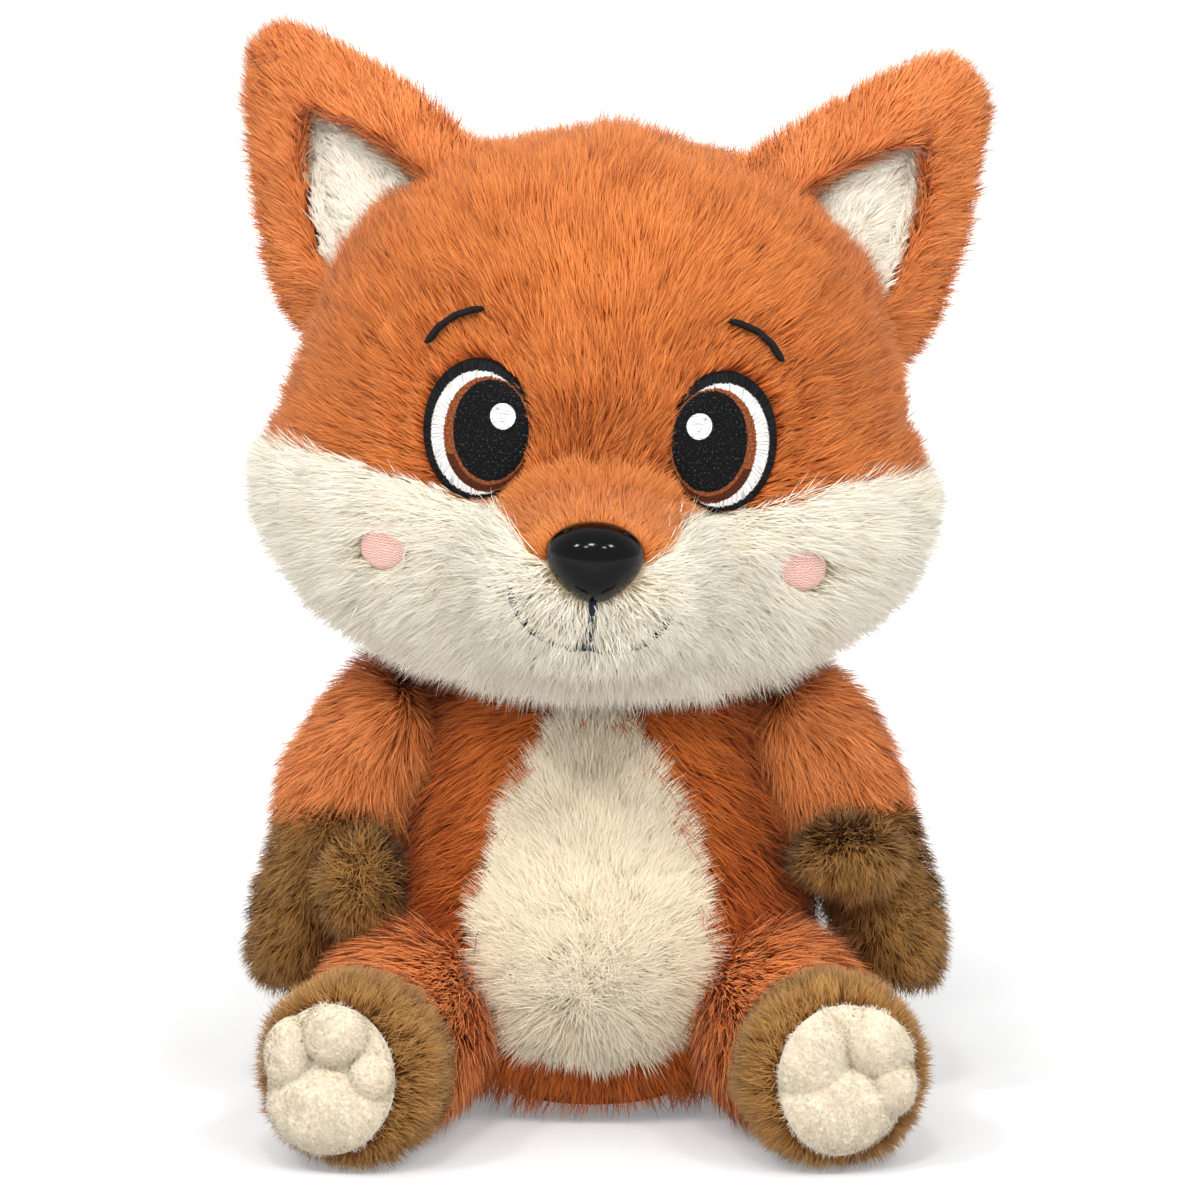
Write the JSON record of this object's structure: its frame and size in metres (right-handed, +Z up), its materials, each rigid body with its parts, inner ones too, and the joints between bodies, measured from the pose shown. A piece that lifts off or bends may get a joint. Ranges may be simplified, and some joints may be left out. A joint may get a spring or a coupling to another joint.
{
  "type": "plush fox",
  "caption": "Seated plush fox with a large head, cream face and belly, plastic nose, stitched eyes and limbs that flex at their seams.",
  "frame": {"origin": "middle of the seat panel's flat lower face, on the surface that the toy sits on", "axes": "+Z up; the toy faces -Y; its own left side is at +X"},
  "size_m": [0.1633, 0.1767, 0.2406],
  "materials": {
    "orange_fur": "matte",
    "body_fur": "matte",
    "cream_fur": "matte",
    "sole_plush": "matte",
    "brown_fur": "matte",
    "nose_plastic": "gloss",
    "eye_thread": "satin",
    "blush_thread": "satin",
    "mouth_thread": "satin",
    "washer_plastic": "satin",
    "bag_cloth": "matte"
  },
  "bodies": {
    "body": {"torso": "body_fur", "seat_panel": "body_fur", "pellet_bag": "bag_cloth", "belly_panel": "cream_fur"},
    "neck": {"neck": "body_fur"},
    "head": {"head": "orange_fur", "face_panel": "cream_fur", "muzzle": "cream_fur", "snout_bridge": "orange_fur", "nose": "nose_plastic", "nose_washer": "washer_plastic", "mouth_stitch": "mouth_thread", "left_eye": "eye_thread", "right_eye": "eye_thread", "left_brow": "eye_thread", "right_brow": "eye_thread", "left_blush": "blush_thread", "right_blush": "blush_thread"},
    "tail": {"tail": "body_fur", "tail_tip": "cream_fur"},
    "left_arm": {"left_arm": "body_fur", "left_paw": "brown_fur", "left_thumb": "brown_fur"},
    "left_leg": {"left_leg": "body_fur", "left_foot": "brown_fur", "left_sole": "sole_plush", "left_toe_inner": "sole_plush", "left_toe_middle": "sole_plush", "left_toe_outer": "sole_plush"},
    "left_ear": {"left_ear": "orange_fur", "left_ear_lining": "cream_fur"},
    "right_arm": {"right_arm": "body_fur", "right_paw": "brown_fur", "right_thumb": "brown_fur"},
    "right_leg": {"right_leg": "body_fur", "right_foot": "brown_fur", "right_sole": "sole_plush", "right_toe_inner": "sole_plush", "right_toe_middle": "sole_plush", "right_toe_outer": "sole_plush"},
    "right_ear": {"right_ear": "orange_fur", "right_ear_lining": "cream_fur"}
  },
  "joints": [
    {"name": "head_turn", "type": "hinge", "parent": "body", "child": "neck", "pos_m": [0, 0, 0.072], "axis": [0, 0, 1], "range_deg": [-20, 20], "stiffness_Nm_per_rad": 0.35},
    {"name": "head_nod", "type": "hinge", "parent": "neck", "child": "head", "pos_m": [0, 0, 0.072], "axis": [1, 0, 0], "range_deg": [-7, 7], "stiffness_Nm_per_rad": 3},
    {"name": "tail_wag", "type": "hinge", "parent": "body", "child": "tail", "pos_m": [0, 0.034, 0.02], "axis": [0, 0, 1], "range_deg": [-20, 20], "stiffness_Nm_per_rad": 0.05},
    {"name": "left_arm_lift", "type": "hinge", "parent": "body", "child": "left_arm", "pos_m": [0.037, 0.003, 0.08], "axis": [0, -1, 0], "range_deg": [0, 15], "stiffness_Nm_per_rad": 0.12},
    {"name": "left_leg_lift", "type": "hinge", "parent": "body", "child": "left_leg", "pos_m": [0.033, -0.016, 0.019], "axis": [-1, 0, 0], "range_deg": [0, 15], "stiffness_Nm_per_rad": 0.25},
    {"name": "left_ear_fold", "type": "hinge", "parent": "head", "child": "left_ear", "pos_m": [0.0501, 0.004, 0.1881], "axis": [0.7948, 0.2419, -0.5565], "range_deg": [-10, 10], "stiffness_Nm_per_rad": 0.06},
    {"name": "right_arm_lift", "type": "hinge", "parent": "body", "child": "right_arm", "pos_m": [-0.037, 0.003, 0.08], "axis": [0, 1, 0], "range_deg": [0, 15], "stiffness_Nm_per_rad": 0.12},
    {"name": "right_leg_lift", "type": "hinge", "parent": "body", "child": "right_leg", "pos_m": [-0.033, -0.016, 0.019], "axis": [-1, 0, 0], "range_deg": [0, 15], "stiffness_Nm_per_rad": 0.25},
    {"name": "right_ear_fold", "type": "hinge", "parent": "head", "child": "right_ear", "pos_m": [-0.04367, 0.004, 0.19302], "axis": [0.8486, -0.2419, 0.4704], "range_deg": [-10, 10], "stiffness_Nm_per_rad": 0.06}
  ]
}
